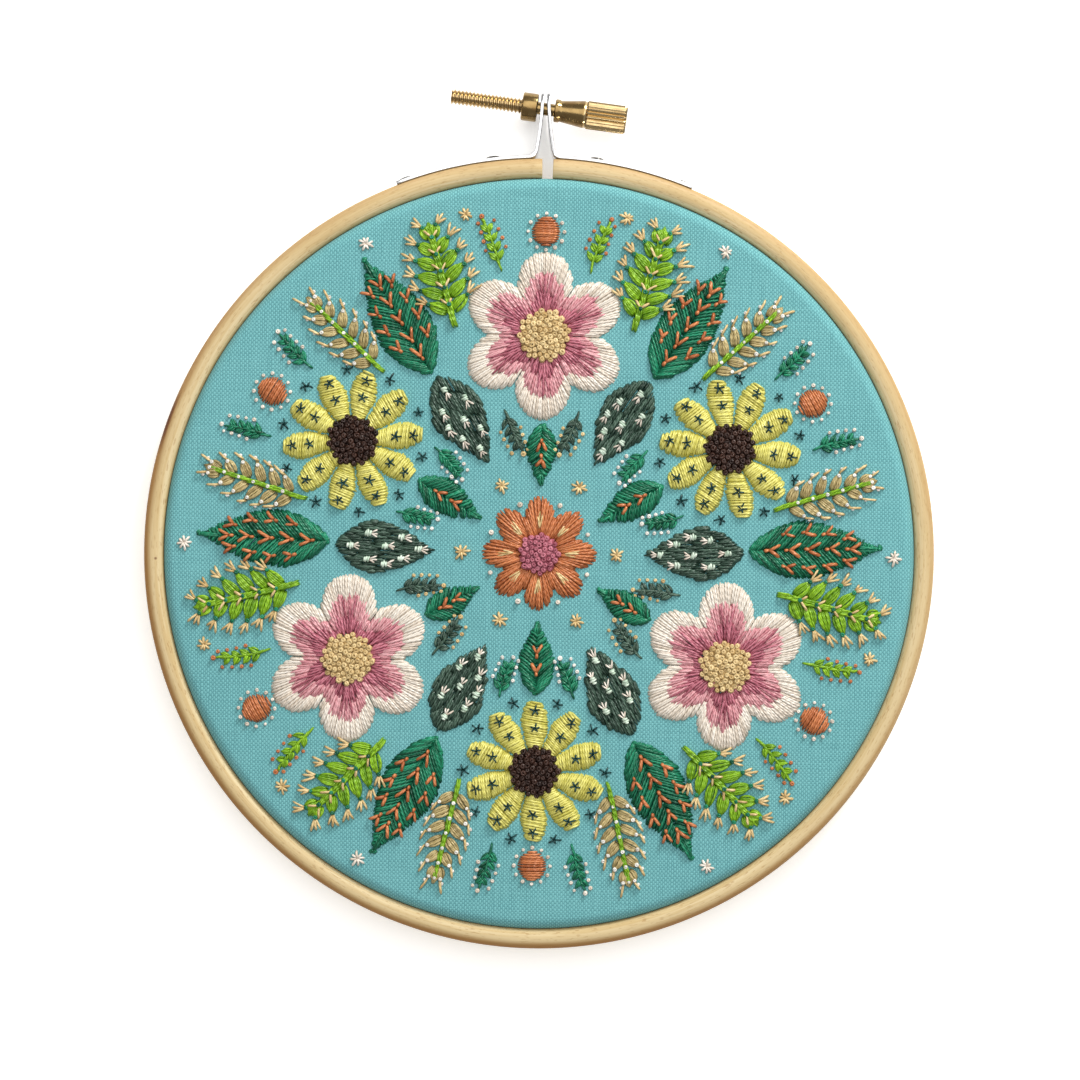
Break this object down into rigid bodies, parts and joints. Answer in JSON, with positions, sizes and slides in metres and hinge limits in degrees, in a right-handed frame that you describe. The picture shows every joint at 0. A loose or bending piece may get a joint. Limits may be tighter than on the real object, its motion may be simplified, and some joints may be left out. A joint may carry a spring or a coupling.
{
  "type": "embroidered cloth in a wooden embroidery hoop",
  "caption": "Round cotton cloth stretched in a wooden screw hoop and embroidered with a wreath of flowers, leaves and ears; lies on its back or hangs by its screw.",
  "frame": {"origin": "on the resting plane, under the middle of the whole part's outline, clamp included", "axes": "+Z out of the stitched face, +Y towards the thumb screw at the split of the outer ring, +X towards the screw's head"},
  "size_m": [0.1638, 0.1788, 0.0118],
  "materials": {
    "hoop_wood": "pale bare beech, sanded, with grain round the ring",
    "cotton": "teal plain-woven cotton",
    "nickel": "bright nickel-plated steel strip",
    "brass": "turned brass, knurled at the head",
    "pink_floss": "stranded cotton, rose and cream",
    "yellow_floss": "stranded cotton, pale yellow",
    "emerald_floss": "stranded cotton, emerald",
    "bottle_floss": "stranded cotton, bottle green",
    "lime_floss": "stranded cotton, lime",
    "straw_floss": "stranded cotton, straw",
    "rust_floss": "stranded cotton, rust"
  },
  "bodies": {
    "hoop": {"inner_ring": "hoop_wood", "outer_ring": "hoop_wood", "cloth": "cotton", "lug_left": "nickel", "lug_right": "nickel", "nut": "brass", "rivet_left_near": "nickel", "rivet_right_near": "nickel", "rivet_left_far": "nickel", "rivet_right_far": "nickel", "heart_blossom": "rust_floss", "pink_blossom_1": "pink_floss", "yellow_blossom_1": "yellow_floss", "pink_berry_1": "rust_floss", "yellow_berry_1": "rust_floss", "pink_sepal_1": "emerald_floss", "yellow_sepal_1": "emerald_floss", "emerald_leaf_1_left": "emerald_floss", "emerald_leaf_1_right": "emerald_floss", "bottle_leaf_1_left": "bottle_floss", "bottle_leaf_1_right": "bottle_floss", "lime_frond_1_left": "lime_floss", "lime_frond_1_right": "lime_floss", "straw_ear_1_left": "straw_floss", "straw_ear_1_right": "straw_floss", "pink_blossom_2": "pink_floss", "yellow_blossom_2": "yellow_floss", "pink_berry_2": "rust_floss", "yellow_berry_2": "rust_floss", "pink_sepal_2": "emerald_floss", "yellow_sepal_2": "emerald_floss", "emerald_leaf_2_left": "emerald_floss", "emerald_leaf_2_right": "emerald_floss", "bottle_leaf_2_left": "bottle_floss", "bottle_leaf_2_right": "bottle_floss", "lime_frond_2_left": "lime_floss", "lime_frond_2_right": "lime_floss", "straw_ear_2_left": "straw_floss", "straw_ear_2_right": "straw_floss", "pink_blossom_3": "pink_floss", "yellow_blossom_3": "yellow_floss", "pink_berry_3": "rust_floss", "yellow_berry_3": "rust_floss", "pink_sepal_3": "emerald_floss", "yellow_sepal_3": "emerald_floss", "emerald_leaf_3_left": "emerald_floss", "emerald_leaf_3_right": "emerald_floss", "bottle_leaf_3_left": "bottle_floss", "bottle_leaf_3_right": "bottle_floss", "lime_frond_3_left": "lime_floss", "lime_frond_3_right": "lime_floss", "straw_ear_3_left": "straw_floss", "straw_ear_3_right": "straw_floss"},
    "thumb_screw": {"thumb_screw": "brass"}
  },
  "joints": [
    {"name": "screw_turn", "type": "hinge", "parent": "hoop", "child": "thumb_screw", "pos_m": [-0.00073, 0.08525, 0.00475], "axis": [0.9935, -0.1141, 0], "continuous": true}
  ]
}
